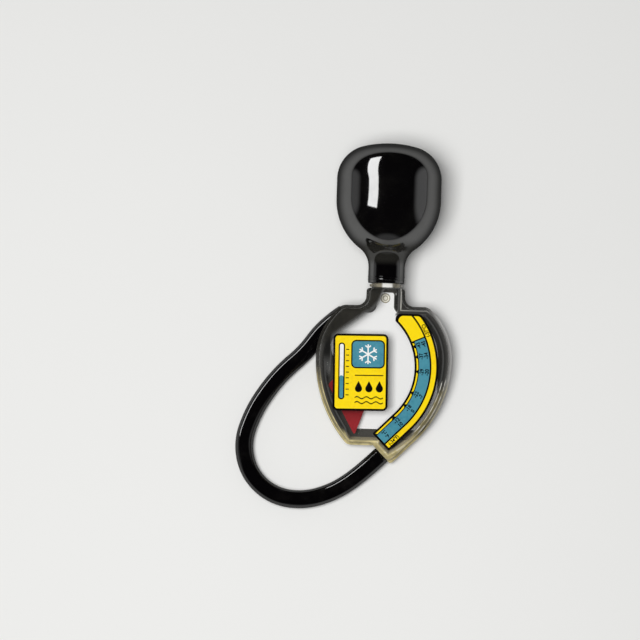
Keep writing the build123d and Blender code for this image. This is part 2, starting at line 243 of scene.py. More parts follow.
class Wire:
    """One shader socket; sums written with it add the Math nodes."""

    def __init__(self, finish, socket):
        self.finish, self.socket = finish, socket

    def sum(self, operation, *others):
        values = [self, *others]
        return self.finish.node("Math", {"operation": operation}, dict(enumerate(values)))

    def __add__(self, other):
        return self.sum("ADD", other)

    def __sub__(self, other):
        return self.sum("SUBTRACT", other)

    def __rsub__(self, other):
        return self.sum("MULTIPLY", -1.0) + other

    def __mul__(self, other):
        return self.sum("MULTIPLY", other)

    def __truediv__(self, other):
        return self.sum("DIVIDE", other)

    def __rtruediv__(self, other):
        return self.finish.node("Math", {"operation": "DIVIDE"}, {0: other, 1: self})

    def __abs__(self):
        return self.sum("ABSOLUTE")

    __radd__ = __add__
    __rmul__ = __mul__

    def low(self, other):
        return self.sum("MINIMUM", other)

    def high(self, other):
        return self.sum("MAXIMUM", other)

    def step(self, start, end):
        """0 before start, 1 after end and a smooth rise between; with end below start it falls."""
        settings = {"interpolation_type": "SMOOTHSTEP"}
        flip = end < start
        sockets = {"Value": self, "From Min": min(start, end), "From Max": max(start, end)}
        risen = self.finish.node("MapRange", settings, sockets)
        return 1 - risen if flip else risen

    def between(self, start, full, last, end):
        """1 from full to last, with a smooth rise from start and a smooth fall to end."""
        return self.step(start, full) * self.step(end, last)


class Finish:
    """A material, or the world's light, built from nodes."""

    def __init__(self, name="", world=None):
        self.material = world or bpy.data.materials.new(name)
        self.material.use_nodes = True
        self.tree = self.material.node_tree
        self.tree.nodes.clear()

    def node(self, kind, settings=None, sockets=None, out=0):
        made = self.tree.nodes.new("ShaderNode" + kind)
        for setting, value in (settings or {}).items():
            setattr(made, setting, value)
        for key, value in (sockets or {}).items():
            if isinstance(value, Wire):
                self.tree.links.new(value.socket, made.inputs[key])
            else:
                made.inputs[key].default_value = value
        return Wire(self, made.outputs[out]) if made.outputs else None

    def place(self):
        """Where the surface point is, in metres in the row frame at rest."""
        return self.node("TexCoord", out="Object")

    def dial_place(self):
        """The surface point's u, v and w in millimetres."""
        origin = {0: self.place(), 1: DIAL_ORIGIN}
        away = self.node("VectorMath", {"operation": "SUBTRACT"}, origin)
        axes = [axis / MM for axis in (ACROSS, ALONG, FRONT)]
        settings = {"operation": "DOT_PRODUCT"}
        return [self.node("VectorMath", settings, {0: away, 1: axis}, out="Value") for axis in axes]

    def speckle(self, scale, detail=3.0, rough=0.5, stretch=None):
        """Noise from 0 to 1 whose grains are about 1 / scale metres across."""
        where = self.place()
        if stretch:
            where = self.node("Mapping", {}, {"Vector": where, "Scale": stretch})
        sockets = {"Vector": where, "Scale": scale, "Detail": detail, "Roughness": rough}
        return self.node("TexNoise", {}, sockets)

    def blend(self, share, first, second):
        """Two colours mixed by share."""
        settings = {"data_type": "RGBA", "clamp_factor": True}
        return self.node("Mix", settings, {0: share, 6: first, 7: second}, out=2)

    def bump(self, height, depth_mm, strength=1.0):
        """A normal from a height of 0 to 1 that stands depth_mm millimetres."""
        return self.node("Bump", {}, {"Strength": strength, "Distance": depth_mm * MM, "Height": height})

    def gloss(self, limit, index=1.5):
        """Coat weight whose mirror share stays under limit where the surface turns away."""
        mirror = self.node("Fresnel", {}, {"IOR": index})
        return (limit / mirror).low(1.0)

    def turned(self):
        """0 where the surface faces the eye, 1 where it is seen edge on."""
        return self.node("LayerWeight", {}, {"Blend": 0.5}, out="Facing")

    def across_face(self):
        """1 where the surface lies along the dial, 0 where it stands upright to it."""
        normal = {0: self.node("TexCoord", out="Normal"), 1: FRONT}
        return abs(self.node("VectorMath", {"operation": "DOT_PRODUCT"}, normal, out="Value"))

    def plastic(self, sockets):
        """Closes the material with a Principled shader."""
        skin = self.node("BsdfPrincipled", {}, sockets)
        self.node("OutputMaterial", {}, {"Surface": skin})
        return self.material


def bulb_vinyl():
    """Black moulded vinyl: glossy, with a faint orange peel, hand smears and the mould's parting line. Its
    matte throat is painted grey as a reflection.
    """
    vinyl = Finish("black_vinyl")
    u, v, w = vinyl.dial_place()
    peel = vinyl.speckle(1400, detail=2.0)
    smear = vinyl.speckle(55, detail=5.0, rough=0.65)
    parting = abs(w).step(0.22, 0.08) * abs(u).step(2.0, 4.0)
    relief = peel * 0.2 + parting + vinyl.speckle(160, detail=2.0) * 0.25
    colour = vinyl.blend(smear.step(0.4, 0.75), ink(5, 4, 5), ink(15, 14, 13))
    throat_matte_painted_reflection = v.between(*THROAT_MATTE_AND_PAINTED_REFLECTION)
    # Painted reflection: the throat is painted grey
    colour = vinyl.blend(throat_matte_painted_reflection, colour, ink(36, 35, 32))
    grip = v.between(*SLEEVE_MATTE) * abs(u).step(*SLEEVE_MATTE_HALF)
    limb = (1 - vinyl.turned().step(0.4, 0.75) * 0.75) * (1 - throat_matte_painted_reflection * 0.55) * (1 - grip)
    return vinyl.plastic({
        "Base Color": colour,
        "Roughness": smear.step(0.45, 0.8) * 0.2 + peel * 0.1 + 0.4,
        "Specular IOR Level": 0.0,
        "Coat Weight": vinyl.gloss(VINYL_MIRROR, VINYL_INDEX) * (1 - smear.step(0.5, 0.85) * 0.2) * limb,
        "Coat Roughness": 0.07,
        "Coat IOR": VINYL_INDEX,
        "Normal": vinyl.bump(relief, 0.03, 0.5),
    })


def hose_rubber():
    """Black extruded rubber: fine lines along the tube and a little bloom."""
    rubber = Finish("black_rubber")
    around = rubber.node("TexCoord", out="UV")
    lined = rubber.node("Mapping", {}, {"Vector": around, "Scale": (60.0, 0.8, 1.0)})
    lines = rubber.node("TexNoise", {}, {"Vector": lined, "Scale": 1.0, "Detail": 3.0})
    bloom = rubber.speckle(90, detail=4.0, rough=0.6)
    colour = rubber.blend(bloom.step(0.45, 0.8), ink(5, 4, 5), ink(19, 18, 17))
    return rubber.plastic({
        "Base Color": colour,
        "Roughness": bloom.step(0.4, 0.8) * 0.1 + lines * 0.05 + 0.45,
        "Specular IOR Level": 0.0,
        "Coat Weight": rubber.gloss(0.06) * (1 - bloom.step(0.5, 0.85) * 0.3),
        "Coat Roughness": 0.08,
        "Normal": rubber.bump(lines + rubber.speckle(2500) * 0.3, 0.02, 0.5),
    })


def rim_inset(finish, u, v):
    """How far inside the body's outline a point of the dial lies, in millimetres."""
    def from_arc(centre, radius):
        away = u - centre
        return radius - (away * away + v * v).sum("SQRT")

    above = v.step(-0.01, 0.01)
    bows = from_arc(BODY_RADIUS - RIGHT_BOW, RIGHT_BOW).low(from_arc(LEFT_BOW - BODY_RADIUS, LEFT_BOW))
    sides = from_arc(0.0, BODY_RADIUS) * above + bows * (1 - above)
    wedge = (u + v + SPOUT_REACH / sin(pi / 4)) * sin(pi / 4)
    foot = (v - BOTTOM).high((u + WEDGE_ROOT).low(wedge))
    neck = (NECK_HALF - abs(u)).low(NECK_TOP + WALL_INSET - v).low(v - SHOULDER / 2)
    return sides.low(SHOULDER - v).low(foot).high(neck)


def deep_walls(u, v, waved, low):
    """1 over the chamber's deep walls, which are painted dark as shade; the painted band is wider at the
    foot, the shoulders and the tab's foot, and at the left beside the panel."""
    tab_foot = abs(u - TAB_FOOT_U).step(*TAB_FOOT_HALF) * abs(v - TAB_FOOT_V).step(*TAB_FOOT_TALL)
    wall = (waved + low * 1.6 + v.step(*TOP_WALL) * 1.3 + tab_foot * 1.6).step(*WALL_SHOWS)
    return wall.high(u.step(*LEFT_WALL) * v.step(*LEFT_WALL_TOP))


def cast_dark(u, v):
    """1 in the dark that lies over the upper left, up to the plate's tab."""
    slope = (v - SHADE_V) * cos(SHADE_TURN) - (u - SHADE_U) * sin(SHADE_TURN)
    beside_tab = (v - TAB_V) * sin(TAB_TURN) - (u - TAB_U) * cos(TAB_TURN)
    return slope.sum("SMOOTH_MIN", beside_tab * 2.0, 3.0).step(*SHADE_EDGE)


def collar_colour(clear, u, beads):
    """The neck's collar: mottled grey, with one painted pale glint in its middle."""
    glint = abs(u - COLLAR_GLINT_U).step(*COLLAR_GLINT_HALF)
    sides = clear.blend(beads, ink(78, 76, 70), ink(148, 141, 122))
    return clear.blend(glint, sides, ink(250, 249, 244))


def clear_front():
    """Clear moulded plastic. The window lets the dial through; the deep walls round it are painted dark as
    shade, the rim at the lower left has painted warm light and highlights, and the upper left has a painted
    shadow of the bulb and the hose."""
    clear = Finish("clear_front")
    u, v = clear.dial_place()[:2]
    inset = rim_inset(clear, u, v)
    flow = clear.speckle(38, detail=4.0)
    fine = clear.speckle(240, detail=3.0)
    beads = fine.step(0.4, 0.62)
    waved = inset + (flow - 0.5) * 0.6

    # Where each part of the shell is
    low = v.step(*FOOT_WALL)
    wall = deep_walls(u, v, waved, low)
    flange = inset.step(RIM + 0.2, RIM - 0.2)
    shade = cast_dark(u, v)
    collar = v.step(*COLLAR)
    upright = clear.across_face().step(0.55, 0.2)
    right = u.step(*RIGHT_LIT_EDGE_U) * v.step(*RIGHT_LIT_EDGE_V)
    neck = v.step(*NECK_SIDE_V) * u.step(*NECK_SIDE_U)

    # Painted light: bright painted highlights along the fillets, and painted warm light low down
    lines = (waved * FILLET_HIGHLIGHT_LINES).sum("SINE").step(0.5, 0.97)
    left_low = (u * -0.5 - v).step(*LOWER_LEFT) * inset.step(*RIM_LIT)
    foot = low * (waved + 0.3).step(*FOOT_LIT)
    spout = (u - v).step(*SPOUT_LIT) * wall
    warm_painted_light = left_low.high(foot).high(spout * 0.55)
    pale = lines.high(foot * 0.55) * (beads * 0.5 + 0.5)
    painted_glints = (neck * lines).high((u - v).step(*SPOUT_GLINTS) * lines * beads)

    # Painted shade on the deep walls, darker further in
    dark = clear.blend(waved.step(*WALL_DARKENS), ink(84, 83, 80), ink(33, 33, 32))
    lit = clear.blend(pale, ink(154, 143, 102), ink(255, 238, 176))
    walls = clear.blend(warm_painted_light, dark, lit)
    # Painted glints beside the neck and the spout
    walls = clear.blend(painted_glints, walls, ink(224, 222, 212))
    # The flange: painted shade, with painted light at the right and painted warm light low at the left
    edge = clear.blend(right, ink(62, 61, 58), ink(206, 205, 202))
    edge = clear.blend(warm_painted_light, edge, lit)
    colour = clear.blend(flange, clear.blend(wall, ink(140, 140, 138), walls), edge)
    # Painted shadow of the bulb and the hose over the upper left
    colour = clear.blend(shade, colour, clear.blend(fine, ink(30, 30, 29), ink(58, 56, 50)))
    colour = clear.blend(upright * 0.7, colour, ink(150, 149, 144))

    # How much it hides of what is behind it; the painted dark walls and the painted shadow hide most
    window = clear.node("LayerWeight", {}, {"Blend": 0.3}, out="Facing")
    share = (window * window * 0.3 + 0.015).high(wall * 0.8).high(shade * 0.86)
    share = (share - upright * 0.35).high(0.015) * (1 - flange) + flange * 0.66
    return clear.plastic({
        "Base Color": clear.blend(collar, colour, collar_colour(clear, u, beads)),
        "Roughness": fine * 0.04 + shade * 0.5 + 0.04,
        "Alpha": share * (1 - collar) + collar * 0.82,
        "Normal": clear.bump(flow + fine * 0.1, 0.12, 0.35),
    })


def clear_rear():
    """The rear half: the same plastic, painted dark behind the dial as shade and with painted warm light low
    at the left. The peg that holds the plate is pale.
    """
    clear = Finish("clear_rear")
    u, v, w = clear.dial_place()
    inset = rim_inset(clear, u, v)
    flow = clear.speckle(45, detail=4.0)
    away_u = u - PEG_U
    away_v = v - PEG_V
    peg = (away_u * away_u + away_v * away_v).sum("SQRT")
    on_peg = peg.step(PEG_HEAD + 0.3, PEG_HEAD + 0.2) * w.step(*PEG_FACE)
    rings = peg.step(PEG_RIM, PEG_RIM + 0.4).high(abs(peg - PEG_RING).step(0.35, 0.1) * 0.8)
    pale = clear.blend(rings, ink(250, 246, 232), ink(138, 128, 92))
    flange = inset.step(RIM + 0.15, RIM - 0.15)
    warm_painted_light = (u * -0.5 - v).step(*LOWER_LEFT)
    # Painted shade behind the dial, and painted warm light low at the left
    dark = clear.blend(flow, ink(58, 57, 54), ink(92, 90, 85))
    side = clear.blend(flow, ink(140, 132, 106), ink(206, 194, 160))
    colour = clear.blend(warm_painted_light * inset.step(4.4, 3.4), dark, side)
    colour = clear.blend(flange, colour, clear.blend(warm_painted_light, ink(120, 120, 118), side))
    return clear.plastic({
        "Base Color": clear.blend(on_peg, colour, pale),
        "Roughness": flow * 0.06 + 0.06,
        "Alpha": (0.86 - flange * 0.3).high(on_peg),
        "Normal": clear.bump(flow, 0.1, 0.3),
    })


def plate_plastic():
    """White moulded plate: satin, with a faint grain."""
    white = Finish("white_plate")
    grain = white.speckle(1800, detail=2.0)
    shade = white.speckle(30, detail=3.0)
    return white.plastic({
        "Base Color": white.blend(shade, ink(254, 254, 253), ink(249, 249, 247)),
        "Roughness": grain * 0.1 + 0.42,
        "Normal": white.bump(grain, 0.02, 0.4),
    })


def pointer_plastic():
    """Deep red moulded plastic, a little brighter towards the tip: its upper part is painted darker as shade
    under the panel.
    """
    red = Finish("red_pointer")
    v = red.dial_place()[1]
    grain = red.speckle(1500, detail=2.0)
    red_with_painted_shade = red.blend(v.step(-28.0, -36.0), ink(132, 24, 30), ink(156, 36, 42))
    fleck = red.speckle(500, detail=2.0).step(0.55, 0.7)
    return red.plastic({
        "Base Color": red.blend(fleck * 0.35, red_with_painted_shade, ink(112, 18, 24)),
        "Roughness": grain * 0.12 + 0.28,
        "Normal": red.bump(grain, 0.03, 0.5),
    })


def metal(name, dark, light, rough):
    """Turned metal: fine rings and a little tarnish."""
    turned = Finish(name)
    rings = turned.speckle(900, detail=2.0, stretch=(0.2, 0.2, 8.0))
    return turned.plastic({
        "Base Color": turned.blend(turned.speckle(400), dark, light),
        "Metallic": 1.0,
        "Roughness": rings * 0.15 + rough,
        "Normal": turned.bump(rings, 0.01, 0.4),
    })


def printed(name, colour, worn):
    """Glossy printed film: the ink is a little uneven."""
    film = Finish(name)
    mottle = film.speckle(700, detail=3.0)
    patch = film.speckle(60, detail=3.0)
    return film.plastic({
        "Base Color": film.blend((mottle * 0.5 + patch * 0.5).step(0.42, 0.68), colour, worn),
        "Roughness": mottle * 0.06 + 0.14,
        "Specular IOR Level": 0.35,
        "Normal": film.bump(patch, 0.02, 0.2),
    })


def floor_paint():
    """Plain pale floor."""
    paint = Finish("pale_floor")
    mottle = paint.speckle(3.0, detail=3.0)
    return paint.plastic({
        "Base Color": paint.blend(mottle, ink(236, 236, 234), ink(240, 240, 238)),
        "Roughness": 0.7,
        "Specular IOR Level": 0.2,
    })


def add_piece(name, mesh, material, body="housing", smooth=True):
    """Puts a mesh in the scene as a piece that rides on a body."""
    mesh.name = name
    mesh.materials.clear()
    mesh.materials.append(material)
    for face in mesh.polygons:
        face.use_smooth = smooth
    piece = bpy.data.objects.new(name, mesh)
    bpy.context.scene.collection.objects.link(piece)
    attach(piece, body)
    return piece


def arc_points(centre_u, centre_v, radius, start, end, steps=24):
    """Points along an arc from start to end, in degrees."""
    turns = [radians(start + (end - start) * step / steps) for step in range(steps + 1)]
    return [(centre_u + radius * cos(turn), centre_v + radius * sin(turn)) for turn in turns]


def rounded(corners, size, steps=8):
    """A flat outline with its corners rounded to a radius, or each to its own where size is a list."""
    sizes = size if isinstance(size, list) else [size] * len(corners)
    outline = []
    for index, ((u, v), radius) in enumerate(zip(corners, sizes)):
        here = Vector((u, v))
        before = (Vector(corners[index - 1]) - here).normalized()
        after = (Vector(corners[(index + 1) % len(corners)]) - here).normalized()
        half = before.angle(after) / 2
        if radius == 0:
            outline.append((u, v))
            continue
        centre = here + (before + after).normalized() * radius / sin(half)
        first = here + before * radius / tan(half) - centre
        turn = first.angle_signed(here + after * radius / tan(half) - centre)
        for step in range(steps + 1):
            spoke = Matrix.Rotation(-turn * step / steps, 2) @ first
            outline.append(tuple(centre + spoke))
    return outline


def ink_piece(name, shape, material):
    """Gives flat printing the thickness of its ink, downwards, and puts it in the scene."""
    lowered = bmesh.ops.extrude_face_region(shape, geom=shape.faces[:])["geom"]
    corners = [part for part in lowered if isinstance(part, bmesh.types.BMVert)]
    bmesh.ops.translate(shape, verts=corners, vec=-FRONT * INK_DEPTH * MM)
    bmesh.ops.recalc_face_normals(shape, faces=shape.faces[:])
    mesh = bpy.data.meshes.new(name)
    shape.to_mesh(mesh)
    shape.free()
    return add_piece(name, mesh, material, smooth=False)


def print_sheet(name, outlines, height, material):
    """One printed colour: flat outlines at a height over the window, all in one piece."""
    shape = bmesh.new()
    for outline in outlines:
        corners = [shape.verts.new(spot(u, v, WINDOW_FACE + FILM + height)) for u, v in outline]
        shape.faces.new(corners)
    shape.normal_update()
    bmesh.ops.triangulate(shape, faces=shape.faces[:], ngon_method="EAR_CLIP")
    return ink_piece(name, shape, material)


def on_scale(radius, station):
    """A place on the scale: round the pivot, or below TAIL_START down the straight tail."""
    turn = radians(max(station, TAIL_START))
    down = max(TAIL_START - station, 0.0)
    u = PIVOT_U + radius * cos(turn) - down * sin(pi / 4)
    v = PIVOT_V + radius * sin(turn) - down * sin(pi / 4)
    return u, v


def station_at_height(radius, v):
    """The station at which the arc of a radius reaches a height."""
    return degrees(asin((v - PIVOT_V) / radius))


def along_scale(radius, start, end):
    """Points at one radius from one station to another, fine round the arc and straight down the tail."""
    turned = [station for station in range(int(TAIL_START), 60, 2) if start < station < end]
    return [on_scale(radius, station) for station in [start, *turned, end]]


def band(inner, outer, start, end):
    """A patch of the scale between two radii and two stations; an end may be a pair, inner and outer."""
    first = start if isinstance(start, tuple) else (start, start)
    last = end if isinstance(end, tuple) else (end, end)
    return along_scale(inner, first[0], last[0]) + along_scale(outer, first[1], last[1])[::-1]


def lettering(name, words, height, material):
    """Printed figures, each given as text, size, place and turn in degrees, joined in one flat piece."""
    shape = bmesh.new()
    for text, size, (u, v), turn in words:
        line = bpy.data.curves.new(name + "_line", type="FONT")
        line.body = text
        line.size = size
        line.align_x = "CENTER"
        line.align_y = "CENTER"
        line.offset = size * TYPE_WEIGHT
        line.resolution_u = 3
        setter = bpy.data.objects.new(name + "_setter", line)
        glyphs = bpy.data.meshes.new_from_object(setter)
        before = len(shape.verts)
        shape.from_mesh(glyphs)
        shape.verts.ensure_lookup_table()
        spin = Matrix.Rotation(radians(turn), 2)
        for vertex in shape.verts[before:]:
            flat = spin @ Vector((vertex.co.x * TYPE_NARROWS, vertex.co.y))
            vertex.co = spot(u + flat.x, v + flat.y, WINDOW_FACE + FILM + height)
        bpy.data.objects.remove(setter)
        bpy.data.meshes.remove(glyphs)
        bpy.data.curves.remove(line)
    return ink_piece(name, shape, material)


def round_one(outline, corner):
    """The outline with only the corner of that number rounded."""
    sizes = [0.0] * len(outline)
    sizes[corner] = YELLOW_CORNER
    return rounded(outline, sizes)


def outer_band(outer, top, tail_end):
    """The yellow band along the scale's outer edge."""
    edge = along_scale(outer, tail_end, station_at_height(outer, top))
    back = along_scale(BAND_FROM, tail_end, station_at_height(BAND_FROM, top))[::-1]
    return round_one(edge + back, len(edge) - 1)


def notched_patches(inner, tail_end, teal_end):
    """The yellow patches along the inner edge, which narrow towards the notches between them."""
    patches = []
    stops = [tail_end - NOTCH_IN] + NOTCHES + [teal_end + NOTCH_IN]
    for start, end in zip(stops, stops[1:]):
        low_gap = NOTCH_IN if start < TAIL_START else degrees(NOTCH_IN / inner)
        wide_gap = NOTCH_OUT if start < TAIL_START else degrees(NOTCH_OUT / TICKS_TO)
        first = (start + low_gap, start + wide_gap)
        last = (end - degrees(NOTCH_IN / inner), end - degrees(NOTCH_OUT / TICKS_TO))
        patches.append(band(inner, TICKS_TO, first, last))
    return patches


def top_patch(inner, top):
    """The yellow field over the teal band, up to the scale's top end."""
    start = TEAL_TOP + TEAL_GAP_ABOVE
    left = along_scale(inner, start, station_at_height(inner, SCALE_TOP - SCALE_RISE))
    right = along_scale(TEAL_TO, start, station_at_height(TEAL_TO, top))[::-1]
    return round_one(left + [(left[-1][0], top)] + right, len(left))


def print_scale(yellow, teal, black):
    """The arc scale: black ground, yellow and teal bands, notches and figures."""
    tail_end = TAIL_START - TAIL_LENGTH + KEYLINE
    top = SCALE_TOP - KEYLINE
    outer = SCALE_OUTER - KEYLINE
    inner = SCALE_INNER + KEYLINE
    teal_end = TEAL_TOP - TEAL_GAP_BELOW
    patches = notched_patches(inner, tail_end, teal_end)
    bands = [outer_band(outer, top, tail_end), *patches, top_patch(inner, top)]
    print_sheet("scale_yellow", bands, INK, yellow)
    print_sheet("scale_teal", [band(TEAL_FROM, TEAL_TO, tail_end, teal_end)], INK, teal)
    words = []
    for station, pair in zip(NOTCHES, PAIRS):
        turn = max(station, TAIL_START) + 90
        for figure, radius in zip(pair.split("|"), PAIR_RADII):
            words.append((figure, PAIR_TYPE, on_scale(radius, station), turn))
    tail_turn = TAIL_START + 90
    for unit, radius in zip(("°C", "°F"), UNIT_RADII):
        words.append((unit, UNIT_TYPE, on_scale(radius, TAIL_START - UNIT_DOWN), tail_turn))
    words.append(("(-34°F)", LIMIT_TYPE, on_scale(LIMIT_RADIUS, TAIL_START - LIMIT_DOWN), tail_turn))
    words.append(("(-37°C)", LIMIT_TYPE, on_scale(LIMIT_RADIUS, LIMIT_STATION), LIMIT_STATION + 90))
    lettering("scale_figures", words, 2 * INK, black)


def on_panel(points, shift_u=0.0, shift_v=0.0, turn=0.0):
    """Points drawn about the panel's middle, moved to their place on the window."""
    spin = Matrix.Rotation(radians(turn), 2)
    lean = Matrix.Rotation(radians(PANEL_TURN), 2)
    placed = []
    for u, v in points:
        here = lean @ (spin @ Vector((u, v)) + Vector((shift_u, shift_v)))
        placed.append((PANEL_U + here.x, PANEL_V + here.y))
    return placed


def box_outline(width, height):
    """A box about its middle."""
    right, top = width / 2, height / 2
    return [(-right, -top), (right, -top), (right, top), (-right, top)]


def wave_outline(row):
    """One wavy line of the panel, at a height."""
    places = [-7.5 + step * 0.5 for step in range(31)]
    crest = [(u, WAVE_RISE * sin((u + 7.5) * 2 * pi / WAVE_LENGTH)) for u in places]
    over = [(u, v + WAVE_LINE) for u, v in crest]
    under = [(u, v - WAVE_LINE) for u, v in crest[::-1]]
    return on_panel(over + under, DROPS_U, row)


def star_outlines():
    """The frost star: six arms, each with a pair of barbs, and its hub."""
    arm = [(-0.36, 0.6), (0.36, 0.6), (0.36, 5.2), (-0.36, 5.2)]
    barb = [(0.36, 3.3), (1.7, 4.3), (1.3, 4.8), (0.36, 4.1)]
    other_barb = [(-u, v) for u, v in barb]
    star = []
    for turn in range(0, 360, 60):
        star += [on_panel(part, STAR_U, STAR_V, turn) for part in (arm, barb, other_barb)]
    star.append(on_panel(arc_points(0.0, 0.0, 0.7, 0, 300, 5), STAR_U, STAR_V))
    return star


def print_panel(yellow, teal, black, white):
    """The panel: yellow with a frost star on a teal field, a row of drops and a level column."""
    def sheet(name, outlines, layer, colour):
        print_sheet("panel_" + name, outlines, layer * INK, colour)

    inside = box_outline(PANEL_WIDTH - 2 * KEYLINE, PANEL_HEIGHT - 2 * KEYLINE)
    sheet("yellow", [on_panel(rounded(inside, PANEL_CORNER - KEYLINE))], 1, yellow)
    sheet("edge", [on_panel(rounded(box_outline(17.8, 15.0), 2.7), STAR_U, STAR_V)], 2, black)
    sheet("field", [on_panel(rounded(box_outline(16.4, 13.6), 2.0), STAR_U, STAR_V)], 3, teal)
    sheet("star", star_outlines(), 4, white)
    sheet("column", [on_panel(rounded(box_outline(3.4, 30.0), 1.65), COLUMN_U, COLUMN_V)], 2, black)
    sheet("glass", [on_panel(rounded(box_outline(2.0, 28.6), 0.95), COLUMN_U, COLUMN_V)], 3, white)
    sheet("level", [on_panel(rounded(box_outline(2.0, 12.0), 0.9), COLUMN_U, LEVEL_V)], 4, teal)
    heights = [MARKS_FROM + MARKS_STEP * mark for mark in range(9)]
    marks = [on_panel(box_outline(1.6, 0.5), MARKS_U, height) for height in heights]
    rule = on_panel(box_outline(15.0, 0.55), DROPS_U, RULE_V)
    drop = arc_points(0.0, 0.0, 1.9, 155, 385, 20) + [(0.0, 4.1)]
    drops = [on_panel(drop, DROPS_U + DROPS_STEP * place, DROPS_V) for place in (-1, 0, 1)]
    waves = [wave_outline(row) for row in WAVES_V]
    sheet("marks", [*marks, rule, *drops, *waves], 2, black)


def bulb_section():
    """The bulb's outside from the sleeve's bore round the lip to the dome, in r and v."""
    belly_turn = degrees(atan2(BELLY[1] - THROAT[1], THROAT[0] - BELLY[0]))
    section = [(SLEEVE_BORE, LIP + SLEEVE_DEPTH), (SLEEVE_BORE, LIP + 0.4)]
    section.append((SLEEVE_BORE + BORE_EDGE, LIP + 0.08))
    section += arc_points(SLEEVE - LIP_ROUND, LIP + LIP_ROUND, LIP_ROUND, -90, 0, 6)
    for height in BEADS:
        section += [(SLEEVE, LIP + height - BEAD)]
        section += arc_points(SLEEVE - BEAD * 0.4, LIP + height, BEAD, -66, 66, 8)
        section += [(SLEEVE, LIP + height + BEAD)]
    section += arc_points(THROAT[0], THROAT[1], THROAT[2], 180, 180 - belly_turn, 20)
    section += arc_points(BELLY[0], BELLY[1], BELLY[2], -belly_turn, 0, 28)[1:]
    section += arc_points(*BULB_SHOULDER, 0, DOME_TURN, 22)
    section += arc_points(*DOME, DOME_TURN, 90, 8)[1:]
    return section


def make_bulb(material):
    """The bulb, turned about the dial's v axis."""
    steps = 144
    shape = bmesh.new()
    rings = []
    section = bulb_section()
    for radius, v in section[:-1]:
        turns = [2 * pi * step / steps for step in range(steps)]
        rings.append([shape.verts.new(spot(radius * cos(t), v, radius * sin(t))) for t in turns])
    for low, high in zip(rings, rings[1:]):
        for step in range(steps):
            after = (step + 1) % steps
            shape.faces.new([low[step], high[step], high[after], low[after]])
    top = shape.verts.new(spot(0.0, section[-1][1], 0.0))
    for step in range(steps):
        shape.faces.new([rings[-1][step], top, rings[-1][(step + 1) % steps]])
    shape.faces.new(rings[0])
    bmesh.ops.recalc_face_normals(shape, faces=shape.faces[:])
    mesh = bpy.data.meshes.new("vinyl_bulb")
    shape.to_mesh(mesh)
    shape.free()
    bulb = add_piece("vinyl_bulb", mesh, material)
    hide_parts("squeeze_bulb")
    return bulb


def hose_line():
    """The hose's route as a smooth spline, read back as points."""
    curve = bpy.data.curves.new("hose_line", type="CURVE")
    curve.dimensions = "3D"
    curve.resolution_u = 10
    spline = curve.splines.new("NURBS")
    spline.points.add(len(HOSE_ROUTE) - 1)
    for point, place in zip(spline.points, HOSE_ROUTE):
        point.co = (*place, 1.0)
    spline.order_u = 3
    spline.use_endpoint_u = True
    holder = bpy.data.objects.new("hose_line", curve)
    line = bpy.data.meshes.new_from_object(holder)
    points = [vertex.co.copy() for vertex in line.vertices]
    bpy.data.objects.remove(holder)
    bpy.data.meshes.remove(line)
    bpy.data.curves.remove(curve)
    return points


def make_hose(material):
    """The hose: an open rubber tube with its wall and rounded ends along the route."""
    line = hose_line()
    steps = 40
    shape = bmesh.new()
    wraps = shape.loops.layers.uv.new("around")
    tangents = []
    for index in range(len(line)):
        ahead = line[min(index + 1, len(line) - 1)]
        behind = line[max(index - 1, 0)]
        tangents.append((ahead - behind).normalized())
    lengths = [0.0]
    for before, after in zip(line, line[1:]):
        lengths.append(lengths[-1] + (after - before).length)
    up = Vector((0, 0, 1))
    rings = []

    def ring(place, tangent, radius, travelled):
        side = tangent.cross(up).normalized()
        over = side.cross(tangent).normalized()
        turns = [2 * pi * step / steps for step in range(steps)]
        verts = [shape.verts.new(place + (side * cos(t) + over * sin(t)) * radius) for t in turns]
        rings.append((verts, travelled))

    last = len(line) - 1
    ring(line[0], tangents[0], HOSE_BORE, 0.0)
    ring(line[0], tangents[0], HOSE_RADIUS - HOSE_CHAMFER, 0.001)
    ring(line[0] + tangents[0] * HOSE_CHAMFER, tangents[0], HOSE_RADIUS, 0.002)
    for index in range(1, last):
        ring(line[index], tangents[index], HOSE_RADIUS, lengths[index])
    ring(line[last] - tangents[last] * HOSE_CHAMFER, tangents[last], HOSE_RADIUS, lengths[last] - 0.001)
    ring(line[last], tangents[last], HOSE_RADIUS - HOSE_CHAMFER, lengths[last])
    ring(line[last], tangents[last], HOSE_BORE, lengths[last] + 0.001)
    for index in range(last - 1, 0, -1):
        ring(line[index], tangents[index], HOSE_BORE, lengths[index])
    rings.append(rings[0])
    for (low, start), (high, end) in zip(rings, rings[1:]):
        for step in range(steps):
            after = (step + 1) % steps
            face = shape.faces.new([low[step], low[after], high[after], high[step]])
            around = [step / steps, (step + 1) / steps]
            places = [(around[0], start), (around[1], start), (around[1], end), (around[0], end)]
            for loop, (share, travelled) in zip(face.loops, places):
                loop[wraps].uv = (share, travelled * 100)
    bmesh.ops.recalc_face_normals(shape, faces=shape.faces[:])
    mesh = bpy.data.meshes.new("rubber_hose")
    shape.to_mesh(mesh)
    shape.free()
    hose = add_piece("rubber_hose", mesh, material)
    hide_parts("hose")
    return hose


def dress(node, material):
    """Gives a CAD node its finish."""
    surface = frame["nodes"][node]
    surface.data.materials.clear()
    surface.data.materials.append(material)


